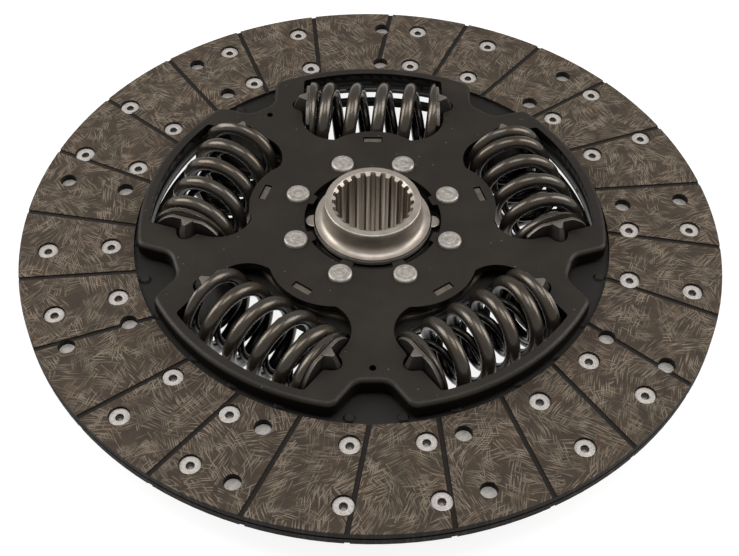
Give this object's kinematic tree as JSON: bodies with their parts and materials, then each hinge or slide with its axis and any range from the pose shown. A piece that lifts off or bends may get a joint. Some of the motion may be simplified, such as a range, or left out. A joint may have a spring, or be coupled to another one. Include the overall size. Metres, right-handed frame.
{
  "type": "clutch disc",
  "caption": "Dry friction clutch disc with riveted segmented linings on cushion segments, a spring torsion damper between side plates and a splined hub.",
  "frame": {"origin": "on the hub axis, at the middle plane between the two linings", "axes": "+Z along the hub axis towards the pictured side, the side with the skirted plate. +Y passes through the middle of one spring window and points away from the camera."},
  "size_m": [0.43, 0.43, 0.06],
  "materials": {
    "lining": "matte resin-bonded friction lining, brown-grey with lighter fibres",
    "rivet_metal": "bright plated rivet",
    "segment_steel": "bare spring steel sheet",
    "plate_black": "satin black phosphated steel with a thin oil film",
    "carrier_steel": "dark phosphated steel",
    "hub_steel": "machined forged steel, satin",
    "hub_rivet_steel": "pressed steel rivet head, satin",
    "spring_steel": "oil-tempered spring steel, dark with brown tints",
    "seat_steel": "pressed and hardened steel, dark satin",
    "ring_steel": "bare steel",
    "friction_ring": "matte moulded friction material",
    "bush_polymer": "moulded bearing polymer"
  },
  "bodies": {
    "hub_side": {"hub": "hub_steel", "hub_rivets": "hub_rivet_steel", "front_side_plate": "plate_black", "rear_side_plate": "plate_black", "centring_bush": "bush_polymer", "front_friction_ring": "friction_ring", "rear_friction_ring": "friction_ring", "rear_backing_ring": "ring_steel", "pressure_ring": "ring_steel", "disc_spring": "ring_steel"},
    "lining_side": {"front_lining": "lining", "rear_lining": "lining", "front_lining_rivets": "rivet_metal", "rear_lining_rivets": "rivet_metal", "front_carrier_plate": "carrier_steel", "rear_carrier_plate": "carrier_steel", "segment_rivets": "hub_rivet_steel", "cushion_segment_1": "segment_steel", "cushion_segment_2": "segment_steel", "cushion_segment_3": "segment_steel", "cushion_segment_4": "segment_steel", "cushion_segment_5": "segment_steel", "cushion_segment_6": "segment_steel", "cushion_segment_7": "segment_steel", "cushion_segment_8": "segment_steel", "cushion_segment_9": "segment_steel"},
    "spring_pack": {"spring_seat_1_right": "seat_steel", "spring_seat_1_left": "seat_steel", "spring_seat_2_right": "seat_steel", "spring_seat_2_left": "seat_steel", "spring_seat_3_right": "seat_steel", "spring_seat_3_left": "seat_steel", "spring_seat_4_right": "seat_steel", "spring_seat_4_left": "seat_steel", "spring_seat_5_right": "seat_steel", "spring_seat_5_left": "seat_steel", "outer_spring_1": "spring_steel", "outer_spring_2": "spring_steel", "outer_spring_3": "spring_steel", "outer_spring_4": "spring_steel", "outer_spring_5": "spring_steel", "inner_spring_1": "spring_steel", "inner_spring_2": "spring_steel", "inner_spring_3": "spring_steel", "inner_spring_4": "spring_steel", "inner_spring_5": "spring_steel"}
  },
  "joints": [
    {"name": "damper_twist", "type": "hinge", "parent": "hub_side", "child": "lining_side", "pos_m": [0, 0, 0], "axis": [0, 0, 1], "range_deg": [-8, 8], "stiffness_Nm_per_rad": 10300},
    {"name": "spring_follow", "type": "hinge", "parent": "hub_side", "child": "spring_pack", "pos_m": [0, 0, 0], "axis": [0, 0, 1], "range_deg": [-4, 4], "deforming": ["outer_spring_1", "outer_spring_2", "outer_spring_3", "outer_spring_4", "outer_spring_5", "inner_spring_1", "inner_spring_2", "inner_spring_3", "inner_spring_4", "inner_spring_5", "spring_seat_1_right", "spring_seat_1_left", "spring_seat_2_right", "spring_seat_2_left", "spring_seat_3_right", "spring_seat_3_left", "spring_seat_4_right", "spring_seat_4_left", "spring_seat_5_right", "spring_seat_5_left"]}
  ],
  "couplings": [
    {"joint": "spring_follow", "follows": "damper_twist", "ratio": 0.5}
  ]
}
